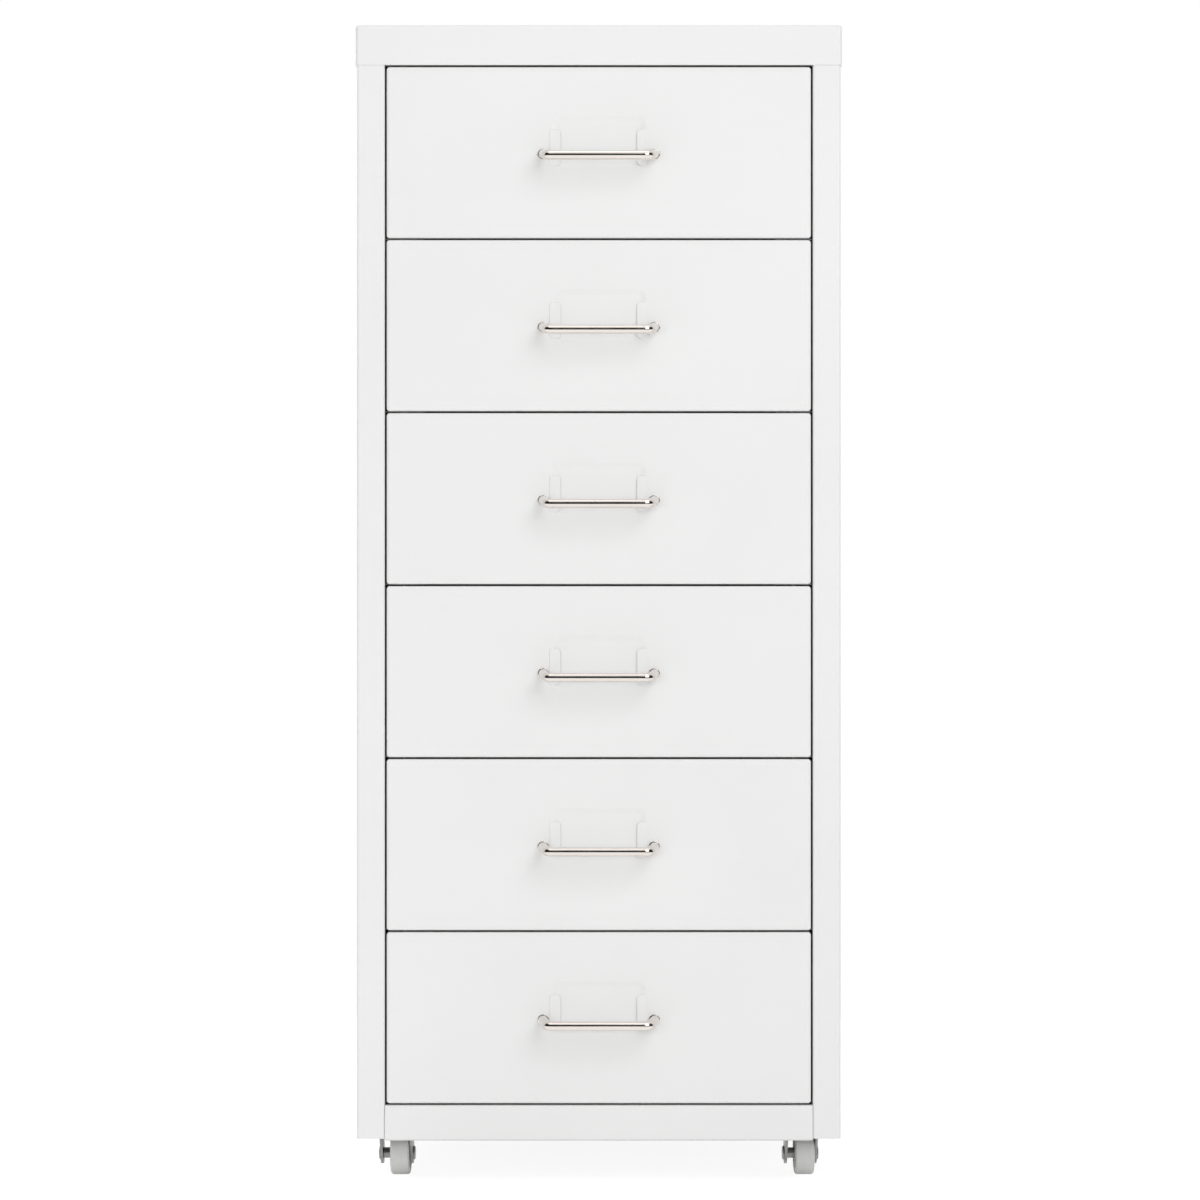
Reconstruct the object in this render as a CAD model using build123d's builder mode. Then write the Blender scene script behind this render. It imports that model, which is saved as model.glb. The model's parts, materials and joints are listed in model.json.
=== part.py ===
"""Narrow steel drawer cabinet on four swivel castors.

The carcass is folded sheet: a top panel that fits over the rest like a lid, two side panels
whose front edges fold into stiles, a back panel, and a bottom panel whose front edge folds
into the rail below the drawers. Six equal drawers run on folded runners that are welded to
the side panels. A drawer is a front pan, a tray welded into it and a bent wire handle.

Frame: +Z is up and the drawers open towards -Y. The origin is on the floor, under the middle
of the bounding box, which reaches from the handles to the heads of the back screws.
"""

import os

from build123d import *

# Carcass, in millimetres
cabinet_width = 280.0  # over the top panel
body_depth = 386.0  # from the drawer faces to the back of the top panel
sheet = 0.7  # thickness of every folded panel
bend = 1.05  # bend radius at the middle of the sheet
panel_fit = 0.1  # clearance between the top panel and what it fits over
back_corner_radius = 2.0
top_height = 23.0
corner_step = 0.2  # by which the top's upper edges are rounded less than its corners
top_lip = 8.0  # folded in below the top panel's front
stile_width = 16.0
return_setback = 2.0  # of the stile's folded edge ahead of the drawer fronts' rear edge
side_top_flange = 12.0
rear_flange = 14.0
rail_height = 20.4
rail_clearance = 24.0  # from the floor to the rail
web_drop = 7.7  # of the bottom panel's floor below the top of the rail
rail_lip = 8.0
rail_seam = 0.1  # hairline gap between the rail and a stile
side_rise = 1.2  # how much higher than the rail the side panels end
cut_margin = 1.0  # how far a cut runs past what it cuts

# Drawers
drawer_count = 6
drawer_pitch = 99.6
drawer_gap = 1.1
drawer_hold = 96.0  # depth of the body that an open drawer still fills
drawer_play = 0.4  # at the stops
front_depth = 12.0  # also of the rail
tray_setback = 6.0  # from the drawer face to the tray
tray_headroom = 12.35  # from the tray's sides to the drawer space above
tray_lip_flat = 0.7  # past the bend along the top of each tray side
weld_gap = 0.1  # between sheets that are welded end to end
stop_tab_width = 8.0
stop_tab_drop = 4.0
stop_side_gap = 1.0

# Runners
runner_web = 16.0
runner_lip = 5.0
runner_overlap = 9.5  # how far the ledge reaches under the tray
runner_gap = 0.3  # between the ledge and the tray
runner_front_gap = 0.5  # between the closed front pan and the runner
runner_rear_gap = 0.2
finger_length = 10.0
finger_width = 8.0
rear_stop_width = 12.0
rear_stop_height = 9.0

# Label holder pressed into each drawer front
label_gap = 0.5  # between a flap and a handle's collar
label_height = 29.6
label_rise = 6.1  # of its middle above the middle of the front
label_depth = 0.8
label_slope = 3.0  # width of its sloping border
label_corner_radius = 1.6  # of its flat floor
flap_width = 5.2
flap_height = 20.7
flap_rise = 2.85
flap_proud = 0.6
flap_seat = 1.0
flap_corner_radius = 2.2
flap_edge_radius = 0.2

# Wire handles
handle_spacing = 64.0
handle_reach = 22.5  # from the drawer face to the front of the bar
handle_fall = 1.1  # of the wire's ends below the middle of the front
handle_droop = 2.1  # of the bar below the wire's ends
leg_splay = 2.5  # by which each leg leans out from the bar to its end
handle_bend = 3.4
handle_neck = 3.0  # straight wire in front of the drawer face
neck_bend = 4.0
wire_diameter = 5.3
wire_hole_clearance = 0.15
wire_tail = 1.2  # wire left behind the clip
collar_rim = 0.6
collar_thickness = 0.9
collar_edge_radius = 0.45
clip_rim = 1.5
clip_thickness = 0.8
clip_fit = 0.02

# Screws that hold the back
screw_diameter = 3.0
screw_head_diameter = 6.6
screw_head_height = 1.5
screw_length = 7.0
screw_hole_clearance = 0.1
screw_low_inset = 5.6  # of the lowest screws above the side panels' lower edge
screw_top_inset = 11.5  # of the highest screws below the top
screw_rows = 4

# Castors, drawn with the swivel axis on Z and the wheel trailing towards +Y
castor_side_inset = 20.5  # of the swivel axis from the side panel
castor_front_setback = 36.0  # of the swivel axis behind the drawer faces
castor_rear_setback = 45.0  # of the swivel axis ahead of the back
castor_trail = 9.0
castor_yaw = 3.0  # degrees that each wheel is turned at rest
wheel_diameter = 25.0
wheel_width = 11.0
wheel_gap = 0.4  # between the wheel and the arm at +X
wheel_edge_radius = 1.4
wheel_recess_depth = 1.0
wheel_rim = 3.4  # between the tread and the recess
hub_diameter = 8.4
plate_width = 30.0
plate_length = 36.0
plate_thickness = 1.5
plate_corner_radius = 3.5
fork_sheet = 1.4
fork_bend = 1.2
fork_length = 16.0  # of the crown
arm_end_radius = 6.2
running_clearance = 0.06
ball_diameter = 3.0
ball_play = 0.03
ball_circle = 13.0
ball_count = 8
kingpin_diameter = 5.0
kingpin_head_diameter = 9.0
kingpin_head_height = 1.6
kingpin_play = 0.1
axle_diameter = 4.0
axle_head_diameter = 8.0
axle_head_height = 1.1
axle_head_radius = 0.7
spacer_diameter = 6.2
spacer_length = 4.4
spacer_play = 0.1
bolt_edge = 4.0  # from a bolt to the edges of the plate
bolt_diameter = 4.0
bolt_hole_clearance = 0.2
bolt_head_diameter = 7.4
bolt_head_height = 2.2
bolt_tail = 0.6
recess_width = 0.9  # of the cross recess in a screw head
recess_depth_share = 0.55  # of the head's height
recess_length_share = 0.6  # of the head's diameter
head_round_share = 0.45  # of the head's height
nut_flats = 7.0
nut_height = 2.4
nut_fit = 0.02

# Radii and widths that follow from the sheet, the bends and the wire
outer_bend = bend + sheet / 2
top_corner_radius = outer_bend + sheet
top_edge_radius = top_corner_radius - corner_step
front_corner_radius = bend + sheet
stile_return = front_depth - return_setback
tray_lip = outer_bend + tray_lip_flat
collar_diameter = wire_diameter + 2 * collar_rim
clip_diameter = wire_diameter + 2 * clip_rim
label_width = handle_spacing - collar_diameter - 2 * (flap_seat + label_gap)

# Heights
rail_top = rail_clearance + rail_height
castor_height = rail_top - web_drop - sheet
top_edge = rail_top + drawer_count * drawer_pitch + drawer_gap
cabinet_height = top_edge + top_height
side_bottom = rail_clearance + side_rise
side_top = cabinet_height - sheet
panel_top = side_top - bend - top_edge_radius
web_middle = castor_height + sheet / 2

# Depths, from the handles at the front to the screw heads at the back
overall_depth = handle_reach + body_depth + screw_head_height
face_y = handle_reach - overall_depth / 2
rear_y = face_y + body_depth
top_front = face_y - panel_fit - sheet
back_front = rear_y - sheet - panel_fit - sheet
flange_front = back_front - sheet
runner_front = face_y + front_depth + runner_front_gap
runner_rear = flange_front - bend - runner_rear_gap
tray_front = face_y + tray_setback
tray_rear = runner_rear - sheet - drawer_play
finger_rear = runner_front + finger_width
drawer_travel = body_depth - drawer_hold

# Half widths
body_half = cabinet_width / 2 - sheet - panel_fit
side_inner = body_half - sheet
stile_inner = body_half - stile_width
front_half = stile_inner - drawer_gap
tray_half = front_half - sheet
ledge_inner = tray_half - runner_overlap
screw_column = body_half - rear_flange / 2

# Heights inside one drawer space, above the middle of the gap below its front
front_low = drawer_gap / 2
front_high = drawer_pitch - drawer_gap / 2
front_middle = drawer_pitch / 2
tray_low = front_low + sheet
tray_high = drawer_pitch - tray_headroom
ledge_top = tray_low - runner_gap

# Heights and places in a castor
wheel_radius = wheel_diameter / 2
crown_top = castor_height - plate_thickness - ball_diameter
fork_gap = wheel_width + wheel_gap + spacer_length + 2 * spacer_play
wheel_right = fork_gap / 2 - wheel_gap
wheel_left = wheel_right - wheel_width
fork_half = fork_gap / 2 + fork_sheet
castor_front_y = face_y + castor_front_setback
castor_rear_y = rear_y - castor_rear_setback
castor_x = side_inner - castor_side_inset
bolt_spacing_x = plate_width - 2 * bolt_edge
bolt_spacing_y = plate_length - 2 * bolt_edge

drawer_bases = [rail_top + drawer_gap / 2 + n * drawer_pitch for n in range(drawer_count)]
castor_places = {
    "front_left": (-castor_x, castor_front_y, -castor_yaw),
    "front_right": (castor_x, castor_front_y, castor_yaw),
    "rear_left": (-castor_x, castor_rear_y, -castor_yaw),
    "rear_right": (castor_x, castor_rear_y, castor_yaw),
}
low_screw = side_bottom + screw_low_inset
high_screw = cabinet_height - screw_top_inset
screw_heights = [
    low_screw + (high_screw - low_screw) * row / (screw_rows - 1) for row in range(screw_rows)
]


def folded_section(plane, points):
    """Section of a folded sheet along mid-sheet points, with every corner bent."""
    with BuildSketch(plane) as section:
        with BuildLine():
            FilletPolyline(points, radius=bend)
        trace(line_width=sheet)
    return section.sketch


def facing_front(depth_y):
    """Plane that is drawn as seen from the front, at a depth. Its normal is -Y."""
    return Plane.XZ.offset(-depth_y)


def back_screw_places(depth_y, heights):
    """Places on the back for screws in both columns, with +Z of each place pointing out."""
    return [
        Location(Plane((side * screw_column, depth_y, height), z_dir=(0, 1, 0)))
        for height in heights
        for side in (-1, 1)
    ]


def placed(part, location):
    """Copy of a part at another place."""
    with BuildPart() as copy:
        with Locations(location):
            add(part)
    return copy.part


def make_top_panel():
    """Lid-like top with flanges on four sides and a lip behind the front one."""
    depth = rear_y - top_front
    with BuildPart() as top_panel:
        with BuildSketch(Plane.XY.offset(top_edge)):
            with Locations((0, (rear_y + top_front) / 2)):
                RectangleRounded(cabinet_width, depth, top_corner_radius)
        extrude(amount=top_height)
        fillet(top_panel.faces().sort_by(Axis.Z)[-1].edges(), top_edge_radius)
        offset(amount=-sheet, openings=top_panel.faces().sort_by(Axis.Z)[0])
        lip_half = stile_inner - rail_seam
        with BuildSketch(Plane.XY.offset(top_edge)):
            with Locations((0, top_front + sheet / 2)):
                Rectangle(2 * lip_half, sheet + top_lip, align=(Align.CENTER, Align.MIN))
        extrude(amount=sheet)
        with Locations(back_screw_places(rear_y, screw_heights[-1:])):
            Hole(screw_diameter / 2 + screw_hole_clearance, depth=sheet + cut_margin)
    return top_panel.part


def make_right_side_panel():
    """Side sheet with its front folded into a stile, and flanges at the top and back."""
    middle = sheet / 2
    flange_y = back_front - middle
    with BuildPart() as side_panel:
        points = [
            (stile_inner + middle, face_y + stile_return),
            (stile_inner + middle, face_y + middle),
            (body_half - middle, face_y + middle),
            (body_half - middle, flange_y),
            (body_half - rear_flange, flange_y),
        ]
        extrude(
            folded_section(Plane.XY.offset(side_bottom), points), amount=panel_top - side_bottom
        )
        top_points = [
            (body_half - middle, panel_top),
            (body_half - middle, side_top - middle),
            (body_half - side_top_flange, side_top - middle),
        ]
        top_start = face_y + stile_return
        top_end = flange_front - bend
        extrude(folded_section(facing_front(top_start), top_points), amount=top_start - top_end)
        with Locations(back_screw_places(back_front, screw_heights)):
            Hole(screw_diameter / 2 + screw_hole_clearance, depth=sheet + cut_margin)
    return side_panel.part


def make_back_panel():
    """Flat sheet on the rear flanges of the side panels."""
    half_width = body_half - top_corner_radius
    with BuildPart() as back_panel:
        with BuildSketch(facing_front(back_front)):
            with Locations((0, (side_bottom + panel_top) / 2)):
                RectangleRounded(2 * half_width, panel_top - side_bottom, back_corner_radius)
        extrude(amount=-sheet)
        with Locations(back_screw_places(back_front + sheet, screw_heights)):
            Hole(screw_diameter / 2 + screw_hole_clearance, depth=sheet + cut_margin)
    return back_panel.part


def make_bottom_panel():
    """Floor sheet with side and rear flanges, its front folded up and over into the rail."""
    middle = sheet / 2
    web_front = face_y + front_depth
    web_rear = flange_front
    with BuildPart() as bottom_panel:
        rail_points = [
            (web_front + 2 * bend, web_middle),
            (web_front - middle, web_middle),
            (web_front - middle, rail_top - middle),
            (face_y + middle, rail_top - middle),
            (face_y + middle, rail_clearance + middle),
            (face_y + rail_lip, rail_clearance + middle),
        ]
        rail_half = stile_inner - rail_seam
        extrude(folded_section(Plane.YZ.offset(-rail_half), rail_points), amount=2 * rail_half)
        web_points = [
            (-side_inner + middle, side_bottom),
            (-side_inner + middle, web_middle),
            (side_inner - middle, web_middle),
            (side_inner - middle, side_bottom),
        ]
        web_start = web_front + bend
        web_end = web_rear - bend
        extrude(folded_section(facing_front(web_start), web_points), amount=web_start - web_end)
        flange_half = side_inner - sheet - bend
        rear_points = [
            (web_end - bend, web_middle),
            (web_rear - middle, web_middle),
            (web_rear - middle, side_bottom),
        ]
        extrude(folded_section(Plane.YZ.offset(-flange_half), rear_points), amount=2 * flange_half)
        for x, y, _ in castor_places.values():
            with Locations((x, y, castor_height + sheet)):
                with GridLocations(bolt_spacing_x, bolt_spacing_y, 2, 2):
                    Hole(bolt_diameter / 2 + bolt_hole_clearance, depth=sheet + cut_margin)
        with Locations(back_screw_places(web_rear, screw_heights[:1])):
            Hole(screw_diameter / 2 + screw_hole_clearance, depth=sheet + cut_margin)
    return bottom_panel.part


def make_right_runner():
    """Folded ledge under a tray, with a stop finger in front and a stop plate behind."""
    middle = sheet / 2
    ledge_rear = runner_rear - sheet - weld_gap
    ledge_middle = ledge_top - middle
    with BuildPart() as runner:
        points = [
            (side_inner - middle, ledge_top + runner_web),
            (side_inner - middle, ledge_middle),
            (ledge_inner + middle, ledge_middle),
            (ledge_inner + middle, ledge_middle - runner_lip),
        ]
        extrude(
            folded_section(facing_front(runner_front), points), amount=runner_front - ledge_rear
        )
        ledge_flat = ledge_inner + sheet + bend
        with BuildSketch(Plane.XY.offset(ledge_top - sheet)):
            with Locations((ledge_flat, runner_front)):
                Rectangle(
                    ledge_flat - ledge_inner + finger_length,
                    finger_width,
                    align=(Align.MAX, Align.MIN),
                )
        extrude(amount=sheet)
        with BuildSketch(facing_front(runner_rear)):
            with Locations((ledge_flat, ledge_top - sheet)):
                Rectangle(
                    rear_stop_width, sheet + rear_stop_height, align=(Align.MIN, Align.MIN)
                )
        extrude(amount=sheet)
    return runner.part


def make_drawer_front():
    """Front pan with a pressed label recess, two lanced flaps and the holes for the wire."""
    label_middle = front_middle + label_rise
    pan_middle = (front_low + front_high) / 2
    with BuildPart() as front:
        with BuildSketch(facing_front(face_y)):
            with Locations((0, pan_middle)):
                RectangleRounded(2 * front_half, front_high - front_low, front_corner_radius)
        extrude(amount=-front_depth)
        fillet(front.faces().sort_by(Axis.Y)[0].edges(), outer_bend)
        offset(amount=-sheet, openings=front.faces().sort_by(Axis.Y)[-1])
        for start_y, mode in ((face_y + sheet, Mode.ADD), (face_y, Mode.SUBTRACT)):
            for depth, inset in ((0, 0), (label_depth, label_slope)):
                with BuildSketch(facing_front(start_y + depth)):
                    with Locations((0, label_middle)):
                        RectangleRounded(
                            label_width - 2 * inset,
                            label_height - 2 * inset,
                            label_corner_radius + label_slope - inset,
                        )
            loft(ruled=True, mode=mode)
        for side in (-1, 1):
            inner_x = side * (label_width / 2 - flap_width)
            outer_x = side * (label_width / 2 + flap_seat)
            flap_middle = ((inner_x + outer_x) / 2, front_middle + flap_rise)
            with BuildSketch(facing_front(face_y - flap_proud)) as flap:
                with Locations(flap_middle):
                    Rectangle(abs(outer_x - inner_x), flap_height)
                inner_corners = flap.vertices().sort_by(Axis.X)
                fillet(inner_corners[:2] if side > 0 else inner_corners[2:], flap_corner_radius)
            extrude(amount=-sheet)
        flap_faces = front.faces().filter_by(Axis.Y).group_by(Axis.Y)[0]
        fillet(flap_faces.edges(), flap_edge_radius)
        with Locations(facing_front(face_y)):
            with Locations((0, front_middle - handle_fall)):
                with GridLocations(handle_spacing, 0, 2, 1):
                    Hole(wire_diameter / 2 + wire_hole_clearance, depth=sheet + cut_margin)
    return front.part


def make_drawer_tray():
    """Folded channel with stop tabs lanced out of its floor, and a flat wall at each end."""
    middle = sheet / 2
    channel_front = tray_front + sheet + weld_gap
    channel_rear = tray_rear - sheet - weld_gap
    with BuildPart() as tray:
        points = [
            (-tray_half + tray_lip, tray_high - middle),
            (-tray_half + middle, tray_high - middle),
            (-tray_half + middle, tray_low + middle),
            (tray_half - middle, tray_low + middle),
            (tray_half - middle, tray_high - middle),
            (tray_half - tray_lip, tray_high - middle),
        ]
        channel_section = folded_section(facing_front(channel_front), points)
        extrude(channel_section, amount=channel_front - channel_rear)
        front_wall_high = front_high - sheet
        for wall_front, wall_high in ((tray_front, front_wall_high), (tray_rear - sheet, tray_high)):
            with BuildSketch(facing_front(wall_front)):
                with Locations((0, (tray_low + wall_high) / 2)):
                    RectangleRounded(2 * tray_half, wall_high - tray_low, front_corner_radius)
            extrude(amount=-sheet)
        tab_front = finger_rear + drawer_travel + drawer_play
        tab_middle = ledge_inner - stop_side_gap - stop_tab_width / 2
        for side in (-1, 1):
            with BuildSketch(facing_front(tab_front)):
                with Locations((side * tab_middle, tray_low + sheet)):
                    Rectangle(
                        stop_tab_width, sheet + stop_tab_drop, align=(Align.CENTER, Align.MAX)
                    )
            extrude(amount=-sheet)
            with BuildSketch(Plane.XY.offset(tray_low - cut_margin)):
                with Locations((side * tab_middle, tab_front + sheet)):
                    Rectangle(stop_tab_width, stop_tab_drop, align=(Align.CENTER, Align.MIN))
            extrude(amount=sheet + 2 * cut_margin, mode=Mode.SUBTRACT)
    return tray.part


def make_handle():
    """Bent wire with a swaged collar on each leg, its ends through the drawer front."""
    root_z = front_middle - handle_fall
    bar_y = face_y - handle_reach + wire_diameter / 2
    bar_z = root_z - handle_droop
    tail_y = face_y + sheet + clip_thickness + wire_tail
    leg_x = handle_spacing / 2
    left_leg = [
        (-leg_x, tail_y, root_z),
        (-leg_x, face_y - handle_neck, root_z),
        (-leg_x + leg_splay, bar_y, bar_z),
    ]
    right_leg = [(-x, y, z) for x, y, z in reversed(left_leg)]
    with BuildPart() as handle:
        with BuildSketch(facing_front(face_y)):
            with Locations((0, root_z)):
                with GridLocations(handle_spacing, 0, 2, 1):
                    Circle(collar_diameter / 2)
        extrude(amount=collar_thickness)
        fillet(handle.edges().group_by(Axis.Y)[0], collar_edge_radius)
        with BuildLine() as wire:
            FilletPolyline(
                left_leg + right_leg, radius=(neck_bend, handle_bend, handle_bend, neck_bend)
            )
        with BuildSketch(Plane(origin=wire.line @ 0, z_dir=wire.line % 0)):
            Circle(wire_diameter / 2)
        sweep()
    return handle.part


def make_handle_clips():
    """Two push-on washers that hold the wire's ends behind the drawer front."""
    with BuildPart() as clips:
        with BuildSketch(facing_front(face_y + sheet)):
            with Locations((0, front_middle - handle_fall)):
                with GridLocations(handle_spacing, 0, 2, 1):
                    Circle(clip_diameter / 2)
                    Circle(wire_diameter / 2 + clip_fit, mode=Mode.SUBTRACT)
        extrude(amount=-clip_thickness)
    return clips.part


def make_pan_screw(head_diameter, head_height, shank_diameter, shank_length):
    """Pan-head screw with a cross recess, its head standing on the origin and pointing up."""
    with BuildPart() as screw:
        Cylinder(head_diameter / 2, head_height, align=(Align.CENTER, Align.CENTER, Align.MIN))
        fillet(screw.edges().sort_by(Axis.Z)[-1], head_round_share * head_height)
        with BuildSketch(Plane.XY.offset(head_height)):
            for turn in (0, 90):
                Rectangle(recess_length_share * head_diameter, recess_width, rotation=turn)
        extrude(amount=-recess_depth_share * head_height, mode=Mode.SUBTRACT)
        Cylinder(shank_diameter / 2, shank_length, align=(Align.CENTER, Align.CENTER, Align.MAX))
    return screw.part


def make_back_screws():
    """Screws through the back, the highest pair through the top panel's flange as well."""
    screw = make_pan_screw(screw_head_diameter, screw_head_height, screw_diameter, screw_length)
    with BuildPart() as back_screws:
        with Locations(back_screw_places(back_front + sheet, screw_heights[:-1])):
            add(screw)
        with Locations(back_screw_places(rear_y, screw_heights[-1:])):
            add(screw)
    return back_screws.part


def make_castor_bolts():
    """Bolts of all castors, with their heads on the bottom panel."""
    shank_length = sheet + plate_thickness + nut_height + bolt_tail
    bolt = make_pan_screw(bolt_head_diameter, bolt_head_height, bolt_diameter, shank_length)
    with BuildPart() as bolts:
        for x, y, _ in castor_places.values():
            with Locations((x, y, castor_height + sheet)):
                with GridLocations(bolt_spacing_x, bolt_spacing_y, 2, 2):
                    add(bolt)
    return bolts.part


def make_castor_nuts():
    """Hexagon nuts of all castors, under the castor plates."""
    with BuildPart() as nuts:
        for x, y, _ in castor_places.values():
            with BuildSketch(Plane.XY.offset(castor_height - plate_thickness)):
                with Locations((x, y)):
                    with GridLocations(bolt_spacing_x, bolt_spacing_y, 2, 2):
                        RegularPolygon(nut_flats / 2, 6, major_radius=False)
                        Circle(bolt_diameter / 2 + nut_fit, mode=Mode.SUBTRACT)
            extrude(amount=-nut_height)
    return nuts.part


def make_castor_plate():
    """Flat plate with four bolt holes and a hole for the kingpin."""
    with BuildPart() as plate:
        with BuildSketch(Plane.XY.offset(castor_height)):
            RectangleRounded(plate_width, plate_length, plate_corner_radius)
            with GridLocations(bolt_spacing_x, bolt_spacing_y, 2, 2):
                Circle(bolt_diameter / 2 + bolt_hole_clearance, mode=Mode.SUBTRACT)
            Circle(kingpin_diameter / 2 + running_clearance, mode=Mode.SUBTRACT)
        extrude(amount=-plate_thickness)
    return plate.part


def make_kingpin():
    """Rivet that the fork swivels on, flush with the plate and headed below the crown."""
    head_top = crown_top - fork_sheet - kingpin_play
    with BuildPart() as kingpin:
        with BuildSketch(Plane.XY.offset(castor_height)):
            Circle(kingpin_diameter / 2)
        extrude(amount=head_top - castor_height)
        with BuildSketch(Plane.XY.offset(head_top)):
            Circle(kingpin_head_diameter / 2)
        extrude(amount=-kingpin_head_height)
        fillet(kingpin.edges().sort_by(Axis.Z)[0], head_round_share * kingpin_head_height)
    return kingpin.part


def make_balls():
    """Ring of balls between the plate and the crown."""
    with BuildPart() as balls:
        with Locations((0, 0, crown_top + ball_diameter / 2)):
            with PolarLocations(ball_circle / 2, ball_count):
                Sphere(ball_diameter / 2 - ball_play)
    return balls.part


def make_fork():
    """Pressed fork: a crown with two arms that reach down and back to the axle."""
    with BuildPart() as fork:
        with BuildSketch(Plane.YZ.offset(fork_gap / 2)):
            with Locations((castor_trail, wheel_radius)):
                Circle(arm_end_radius)
            with Locations((0, crown_top)):
                Rectangle(fork_length, fork_sheet, align=(Align.CENTER, Align.MAX))
            make_hull()
        extrude(amount=fork_sheet)
        mirror(about=Plane.YZ)
        with BuildSketch(Plane.XY.offset(crown_top)):
            Rectangle(2 * fork_half, fork_length)
        extrude(amount=-fork_sheet)
        fillet(fork.edges().filter_by(Axis.Y).group_by(Axis.Z)[-1], fork_bend)
        with Locations((0, 0, crown_top)):
            Hole(kingpin_diameter / 2 + running_clearance, depth=fork_sheet + cut_margin)
        with Locations(Plane((fork_half, castor_trail, wheel_radius), z_dir=(1, 0, 0))):
            Hole(axle_diameter / 2 + running_clearance, depth=2 * fork_half + cut_margin)
    return fork.part


def make_axle():
    """Axle rivet with a rounded head outside each arm."""
    with BuildPart() as axle:
        with BuildSketch(Plane.YZ.offset(-fork_half)):
            with Locations((castor_trail, wheel_radius)):
                Circle(axle_diameter / 2)
        extrude(amount=2 * fork_half)
        with BuildSketch(Plane.YZ.offset(fork_half)):
            with Locations((castor_trail, wheel_radius)):
                Circle(axle_head_diameter / 2)
        extrude(amount=axle_head_height)
        fillet(axle.edges().sort_by(Axis.X)[-1], axle_head_radius)
        mirror(about=Plane.YZ)
    return axle.part


def make_spacer():
    """Tube on the axle between the left arm and the wheel."""
    start = -fork_gap / 2 + spacer_play
    with BuildPart() as spacer:
        with BuildSketch(Plane.YZ.offset(start)):
            with Locations((castor_trail, wheel_radius)):
                Circle(spacer_diameter / 2)
                Circle(axle_diameter / 2 + running_clearance, mode=Mode.SUBTRACT)
        extrude(amount=spacer_length)
    return spacer.part


def make_wheel():
    """Wheel with a rounded tread and a recess round the hub on both sides."""
    bore = axle_diameter / 2 + running_clearance
    recess_out = wheel_radius - wheel_rim
    hub = hub_diameter / 2
    left_side = [
        (wheel_left, bore),
        (wheel_left, hub),
        (wheel_left + wheel_recess_depth, hub),
        (wheel_left + wheel_recess_depth, recess_out),
        (wheel_left, recess_out),
        (wheel_left, wheel_radius),
    ]
    right_side = [(wheel_left + wheel_right - x, radius) for x, radius in reversed(left_side)]
    axle_middle = (0, castor_trail, wheel_radius)
    with BuildPart() as wheel:
        with BuildSketch(Plane(axle_middle, x_dir=(1, 0, 0), z_dir=(0, -1, 0))) as profile:
            Polygon(left_side + right_side, align=None)
            fillet(profile.vertices().group_by(Axis.Y)[-1], wheel_edge_radius)
        revolve(axis=Axis(axle_middle, (1, 0, 0)))
    return wheel.part


def on_each_castor(part):
    """Copies of a part on the swivel axis of every castor, not turned."""
    with BuildPart() as copies:
        for x, y, _ in castor_places.values():
            with Locations((x, y, 0)):
                add(part)
    return copies.part


def mirrored(part):
    """Left-hand copy of a right-hand part."""
    with BuildPart() as copy:
        mirror(part, about=Plane.YZ)
    return copy.part


def in_each_drawer_space(part):
    """Copies of a part above every drawer base."""
    with BuildPart() as copies:
        for base in drawer_bases:
            with Locations((0, 0, base)):
                add(part)
    return copies.part


def keep(part, name):
    """Write one part as a STEP file under its own name."""
    part.label = name
    export_step(part, f"parts/{name}.step")


os.makedirs("parts", exist_ok=True)

right_side_panel = make_right_side_panel()
right_runners = in_each_drawer_space(make_right_runner())
keep(make_top_panel(), "top_panel")
keep(mirrored(right_side_panel), "left_side_panel")
keep(right_side_panel, "right_side_panel")
keep(make_back_panel(), "back_panel")
keep(make_bottom_panel(), "bottom_panel")
keep(mirrored(right_runners), "left_runners")
keep(right_runners, "right_runners")
keep(make_back_screws(), "back_screws")
keep(make_castor_bolts(), "castor_bolts")
keep(make_castor_nuts(), "castor_nuts")
keep(on_each_castor(make_kingpin()), "castor_kingpins")
keep(on_each_castor(make_balls()), "castor_balls")

drawer_parts = {
    "drawer_front": make_drawer_front(),
    "drawer_tray": make_drawer_tray(),
    "handle": make_handle(),
    "handle_clips": make_handle_clips(),
}
for number, base in enumerate(drawer_bases, start=1):
    for name, part in drawer_parts.items():
        keep(placed(part, Location((0, 0, base))), f"{name}_{number}")

castor_plate = make_castor_plate()
castor_parts = {
    "castor_fork": make_fork(),
    "castor_axle": make_axle(),
    "axle_spacer": make_spacer(),
    "castor_wheel": make_wheel(),
}
for corner, (x, y, yaw) in castor_places.items():
    keep(placed(castor_plate, Location((x, y, 0))), f"castor_plate_{corner}")
    for name, part in castor_parts.items():
        keep(placed(part, Location((x, y, 0), (0, 0, yaw))), f"{name}_{corner}")
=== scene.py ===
"""Looks of a narrow white steel drawer cabinet on castors, in metres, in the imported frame."""

import json
import math

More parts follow.
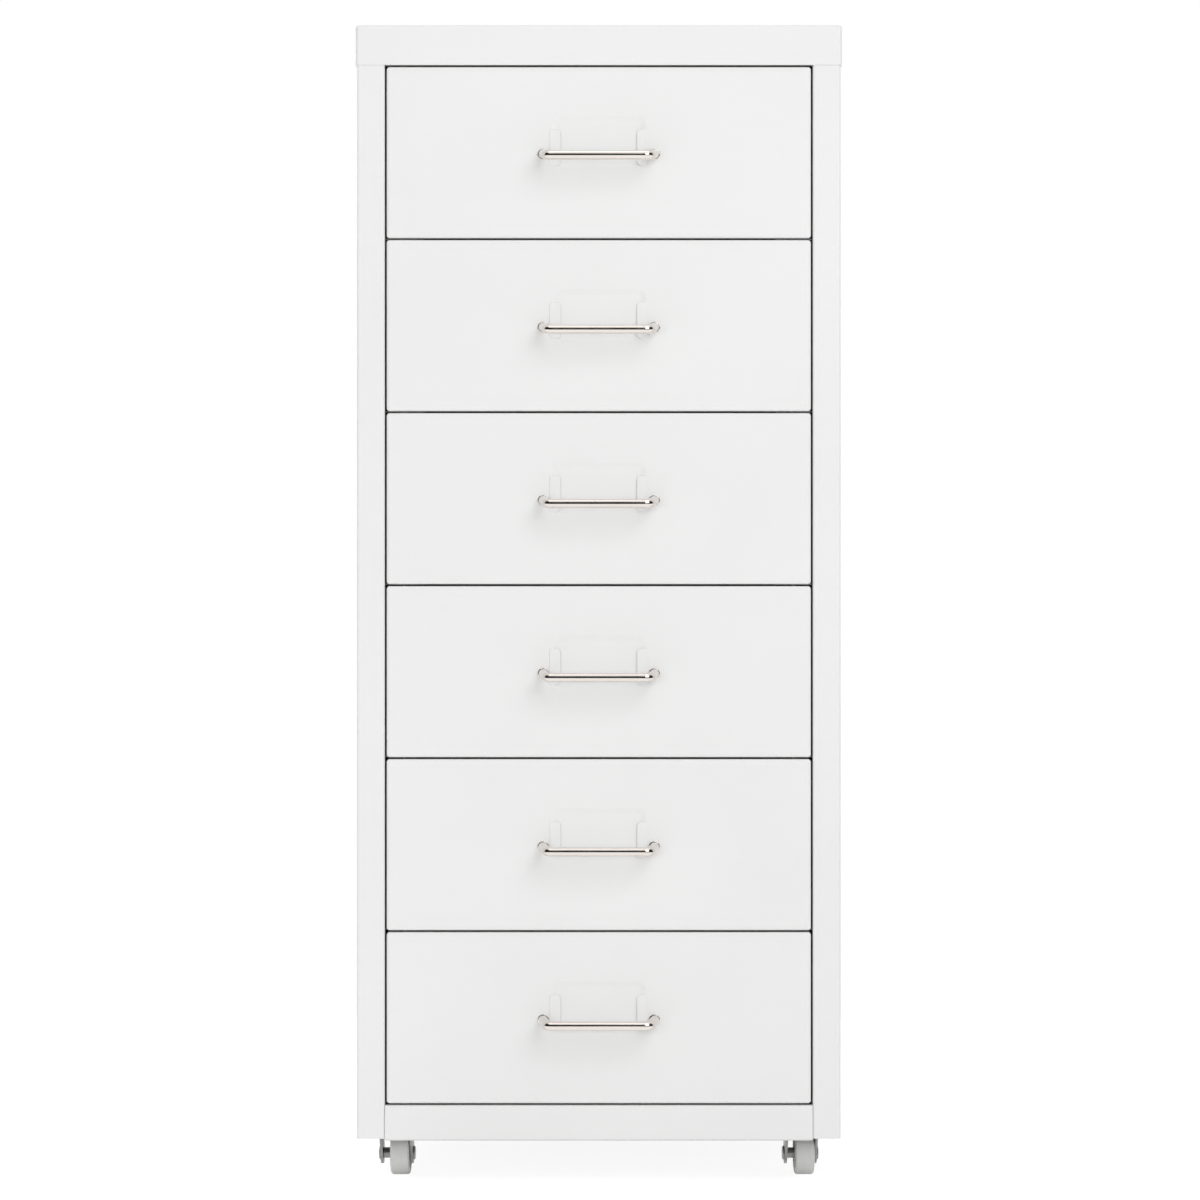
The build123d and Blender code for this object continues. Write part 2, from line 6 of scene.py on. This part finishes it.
import bpy
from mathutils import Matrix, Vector

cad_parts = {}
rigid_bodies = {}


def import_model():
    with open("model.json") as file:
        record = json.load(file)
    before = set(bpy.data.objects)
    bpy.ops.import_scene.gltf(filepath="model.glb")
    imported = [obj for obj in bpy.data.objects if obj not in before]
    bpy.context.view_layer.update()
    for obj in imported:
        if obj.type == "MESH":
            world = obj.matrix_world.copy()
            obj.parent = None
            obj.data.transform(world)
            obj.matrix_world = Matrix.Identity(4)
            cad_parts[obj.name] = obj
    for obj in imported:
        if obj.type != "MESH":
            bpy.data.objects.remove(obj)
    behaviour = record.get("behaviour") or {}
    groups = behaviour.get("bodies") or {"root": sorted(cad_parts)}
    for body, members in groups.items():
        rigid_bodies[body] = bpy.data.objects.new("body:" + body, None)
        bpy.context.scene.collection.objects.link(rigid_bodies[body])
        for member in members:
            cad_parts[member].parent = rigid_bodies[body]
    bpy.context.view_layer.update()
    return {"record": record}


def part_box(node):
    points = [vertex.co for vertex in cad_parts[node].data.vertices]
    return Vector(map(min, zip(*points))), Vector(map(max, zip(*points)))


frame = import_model()

scene = bpy.context.scene
scene.view_settings.view_transform = "Standard"

# Where the photograph was taken from, worked out from its pixels
FACE_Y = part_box("drawer_front_1")[0][1]
CAMERA_DISTANCE = 3.0  # to the drawers' faces
CAMERA_HEIGHT = 0.3352
CAMERA_SIDE = 0.0007
FRAME_WIDTH = 0.6904  # what the picture spans at the drawers' faces
SENSOR_WIDTH = 36.0  # millimetres

# Finishes, as linear colours
PAINT = (0.855, 0.857, 0.853)
PAINT_SHADE = (0.835, 0.837, 0.833)
NICKEL = (0.80, 0.745, 0.70)
ZINC = (0.30, 0.30, 0.29)
WHEEL_GREY = (0.84, 0.85, 0.82)
FLOOR_WHITE = (0.93, 0.93, 0.93)
CARD_BLACK = (0.012, 0.012, 0.012)
CARD_GREY = (0.02, 0.02, 0.02)
WHITE = (1.0, 1.0, 1.0, 1.0)

# Middle part of a noise's range, which roughness and colour are spread over
GLOSS_FROM, GLOSS_TO = 0.3, 0.7
TONE_FROM, TONE_TO = 0.32, 0.68

# Softboxes, placed from the middle of the front and aimed at it
MIDDLE_HEIGHT = 0.333
SOFTBOXES = {
    "key_softbox": {
        "offset": (1.2, -2.5, 1.5), "width": 1.9, "height": 1.9, "watts": 28.0, "mirrored": True,
    },
    "fill_softbox": {
        "offset": (-0.5, -3.3, 0.1), "width": 2.4, "height": 0.8, "watts": 23.0, "mirrored": False,
    },
    "top_softbox": {
        "offset": (0.0, 0.2, 2.4), "width": 2.0, "height": 2.0, "watts": 8.0, "mirrored": True,
    },
    "back_softbox": {
        "offset": (-1.6, 2.6, 1.3), "width": 1.9, "height": 1.9, "watts": 34.0, "mirrored": True,
    },
}

# White surroundings
AMBIENT_STRENGTH = 0.48  # of the light that they give
SEEN_STRENGTH = 1.0  # of the white that the camera and mirrors see
FLOOR_HALF_WIDTH, FLOOR_FRONT, FLOOR_BACK = 2.5, -3.6, 1.0
FLOOR_GLOW = 1.25
FLOOR_GLOW_SHARE = 0.7  # of the glow in what is seen of the floor
FLOOR_ROUGHNESS = 0.9

# Dark card round the front and the sides
CARD_HALF_WIDTH, CARD_FRONT, CARD_BACK, CARD_TOP = 3.0, -4.6, 0.0, 4.2
CARD_ROUGHNESS = 0.95


def new_material(name):
    """Node material, with its node tree and its Principled shader."""
    material = bpy.data.materials.new(name)
    material.use_nodes = True
    tree = material.node_tree
    return material, tree, tree.nodes["Principled BSDF"]


def shade(colour, factor):
    return tuple(factor * channel for channel in colour)


def link(tree, out_node, out_name, in_node, in_name):
    tree.links.new(out_node.outputs[out_name], in_node.inputs[in_name])


def noise(tree, scale, detail, roughness=0.5, stretch=None):
    """Noise in the object's own metres. stretch scales the coordinates along X, Y and Z."""
    coords = tree.nodes.new("ShaderNodeTexCoord")
    texture = tree.nodes.new("ShaderNodeTexNoise")
    texture.inputs["Scale"].default_value = scale
    texture.inputs["Detail"].default_value = detail
    texture.inputs["Roughness"].default_value = roughness
    if stretch is None:
        link(tree, coords, "Object", texture, "Vector")
    else:
        mapping = tree.nodes.new("ShaderNodeMapping")
        mapping.inputs["Scale"].default_value = stretch
        link(tree, coords, "Object", mapping, "Vector")
        link(tree, mapping, "Vector", texture, "Vector")
    return texture


def tint(tree, shader, texture, dark, light):
    """Let a texture drive the colour between two tones."""
    ramp = tree.nodes.new("ShaderNodeValToRGB")
    ramp.color_ramp.elements[0].position = TONE_FROM
    ramp.color_ramp.elements[0].color = (*dark, 1.0)
    ramp.color_ramp.elements[1].position = TONE_TO
    ramp.color_ramp.elements[1].color = (*light, 1.0)
    link(tree, texture, "Fac", ramp, "Fac")
    link(tree, ramp, "Color", shader, "Base Color")


def roughen(tree, shader, texture, low, high):
    """Let a texture drive the roughness from low to high."""
    gloss = tree.nodes.new("ShaderNodeMapRange")
    gloss.inputs["From Min"].default_value = GLOSS_FROM
    gloss.inputs["From Max"].default_value = GLOSS_TO
    gloss.inputs["To Min"].default_value = low
    gloss.inputs["To Max"].default_value = high
    link(tree, texture, "Fac", gloss, "Value")
    link(tree, gloss, "Result", shader, "Roughness")


def emboss(tree, shader, texture, strength, distance):
    """Let a texture drive a fine relief."""
    bump = tree.nodes.new("ShaderNodeBump")
    bump.inputs["Strength"].default_value = strength
    bump.inputs["Distance"].default_value = distance
    link(tree, texture, "Fac", bump, "Height")
    link(tree, bump, "Normal", shader, "Normal")


def make_powder_coat():
    """Satin white powder coat with a fine orange peel."""
    material, tree, shader = new_material("powder_coat")
    mottle = noise(tree, scale=9.0, detail=4.0)
    tint(tree, shader, mottle, dark=PAINT_SHADE, light=PAINT)
    peel = noise(tree, scale=850.0, detail=2.0)
    roughen(tree, shader, peel, low=0.36, high=0.46)
    emboss(tree, shader, peel, strength=0.10, distance=0.00012)
    return material


def make_nickel():
    """Bright nickel plate with faint drawing marks along the wire."""
    material, tree, shader = new_material("nickel_plate")
    marks = noise(tree, scale=160.0, detail=4.0, stretch=(0.12, 1.0, 1.0))
    tint(tree, shader, marks, dark=shade(NICKEL, 0.93), light=NICKEL)
    roughen(tree, shader, marks, low=0.11, high=0.16)
    emboss(tree, shader, marks, strength=0.04, distance=0.0001)
    shader.inputs["Metallic"].default_value = 1.0
    return material


def make_zinc():
    """Zinc-plated pressed steel with a dull crystalline mottle."""
    material, tree, shader = new_material("zinc_steel")
    mottle = noise(tree, scale=420.0, detail=5.0, roughness=0.6)
    tint(tree, shader, mottle, dark=shade(ZINC, 0.75), light=shade(ZINC, 1.25))
    roughen(tree, shader, mottle, low=0.30, high=0.48)
    emboss(tree, shader, mottle, strength=0.08, distance=0.0001)
    shader.inputs["Metallic"].default_value = 1.0
    return material


def make_wheel_plastic():
    """Matte grey wheel plastic with a fine moulded grain."""
    material, tree, shader = new_material("wheel_plastic")
    patches = noise(tree, scale=90.0, detail=3.0)
    tint(tree, shader, patches, dark=shade(WHEEL_GREY, 0.92), light=WHEEL_GREY)
    grain = noise(tree, scale=700.0, detail=4.0, roughness=0.6)
    roughen(tree, shader, grain, low=0.50, high=0.62)
    emboss(tree, shader, grain, strength=0.12, distance=0.0001)
    return material


def add_softbox(name, offset, width, height, watts, mirrored):
    """Rectangular lamp. One that isn't mirrored lights the object but shows in no reflection."""
    light = bpy.data.lights.new(name, "AREA")
    light.shape = "RECTANGLE"
    light.size = width
    light.size_y = height
    light.energy = watts
    middle = Vector((0.0, FACE_Y, MIDDLE_HEIGHT))
    lamp = bpy.data.objects.new(name, light)
    lamp.location = middle + Vector(offset)
    lamp.rotation_euler = (middle - lamp.location).to_track_quat("-Z", "Y").to_euler()
    lamp.visible_glossy = mirrored
    scene.collection.objects.link(lamp)


def seen_or_mirrored(tree):
    """Node that is 1 for camera, glossy and transmission rays, so metal shows the white too."""
    path = tree.nodes.new("ShaderNodeLightPath")
    first = tree.nodes.new("ShaderNodeMath")
    first.operation = "MAXIMUM"
    link(tree, path, "Is Camera Ray", first, 0)
    link(tree, path, "Is Glossy Ray", first, 1)
    both = tree.nodes.new("ShaderNodeMath")
    both.operation = "MAXIMUM"
    link(tree, first, 0, both, 0)
    link(tree, path, "Is Transmission Ray", both, 1)
    return both


def make_world():
    """White surroundings that look brighter than the light that they give."""
    world = bpy.data.worlds.new("studio")
    world.use_nodes = True
    scene.world = world
    tree = world.node_tree
    background = tree.nodes["Background"]
    background.inputs["Color"].default_value = WHITE
    strength = tree.nodes.new("ShaderNodeMapRange")
    strength.inputs["To Min"].default_value = AMBIENT_STRENGTH
    strength.inputs["To Max"].default_value = SEEN_STRENGTH
    link(tree, seen_or_mirrored(tree), 0, strength, "Value")
    link(tree, strength, "Result", background, "Strength")


def add_mesh(name, points, faces, material):
    mesh = bpy.data.meshes.new(name)
    mesh.from_pydata(points, [], faces)
    mesh.materials.append(material)
    piece = bpy.data.objects.new(name, mesh)
    scene.collection.objects.link(piece)
    return piece


def make_floor():
    """White floor with a glow that only the camera and mirrors see."""
    material, tree, shader = new_material("floor_white")
    shader.inputs["Roughness"].default_value = FLOOR_ROUGHNESS
    shader.inputs["Specular IOR Level"].default_value = 0.0
    grain = noise(tree, scale=30.0, detail=2.0)
    tint(tree, shader, grain, dark=shade(FLOOR_WHITE, 0.99), light=FLOOR_WHITE)
    glow = tree.nodes.new("ShaderNodeEmission")
    glow.inputs["Color"].default_value = WHITE
    glow.inputs["Strength"].default_value = FLOOR_GLOW
    share = tree.nodes.new("ShaderNodeMapRange")
    share.inputs["To Max"].default_value = FLOOR_GLOW_SHARE
    link(tree, seen_or_mirrored(tree), 0, share, "Value")
    mix = tree.nodes.new("ShaderNodeMixShader")
    link(tree, share, "Result", mix, 0)
    link(tree, shader, "BSDF", mix, 1)
    link(tree, glow, "Emission", mix, 2)
    link(tree, mix, "Shader", tree.nodes["Material Output"], "Surface")
    points = [
        (-FLOOR_HALF_WIDTH, FLOOR_FRONT, 0.0),
        (FLOOR_HALF_WIDTH, FLOOR_FRONT, 0.0),
        (FLOOR_HALF_WIDTH, FLOOR_BACK, 0.0),
        (-FLOOR_HALF_WIDTH, FLOOR_BACK, 0.0),
    ]
    floor = add_mesh("floor", points, [(0, 1, 2, 3)], material)


def make_dark_card():
    """Card of three walls that gives bright metal its dark line. Only reflections show it."""
    material, tree, shader = new_material("card_black")
    shader.inputs["Roughness"].default_value = CARD_ROUGHNESS
    weave = noise(tree, scale=40.0, detail=2.0)
    tint(tree, shader, weave, dark=CARD_BLACK, light=CARD_GREY)
    foot = [
        (-CARD_HALF_WIDTH, CARD_BACK),
        (-CARD_HALF_WIDTH, CARD_FRONT),
        (CARD_HALF_WIDTH, CARD_FRONT),
        (CARD_HALF_WIDTH, CARD_BACK),
    ]
    points = [(x, y, z) for z in (0.0, CARD_TOP) for x, y in foot]
    walls = [(0, 1, 5, 4), (1, 2, 6, 5), (2, 3, 7, 6)]
    card = add_mesh("dark_card", points, walls, material)
    card.visible_camera = False
    card.visible_diffuse = False
    card.visible_shadow = False


def make_camera():
    """Camera that looks straight at the front, along +Y."""
    data = bpy.data.cameras.new("camera")
    data.sensor_width = SENSOR_WIDTH
    data.lens = SENSOR_WIDTH * CAMERA_DISTANCE / FRAME_WIDTH
    camera = bpy.data.objects.new("camera", data)
    camera.location = (CAMERA_SIDE, FACE_Y - CAMERA_DISTANCE, CAMERA_HEIGHT)
    camera.rotation_euler = (math.radians(90.0), 0.0, 0.0)
    scene.collection.objects.link(camera)
    scene.camera = camera


finishes = {
    "powder_coat": make_powder_coat(),
    "nickel": make_nickel(),
    "zinc_steel": make_zinc(),
    "wheel_plastic": make_wheel_plastic(),
}
for subpart in frame["record"]["subparts"]:
    slots = bpy.data.objects[subpart["node"]].data.materials
    slots.clear()
    slots.append(finishes[subpart["material_slot"]])

for name, softbox in SOFTBOXES.items():
    add_softbox(name, **softbox)
make_world()
make_floor()
make_dark_card()
make_camera()
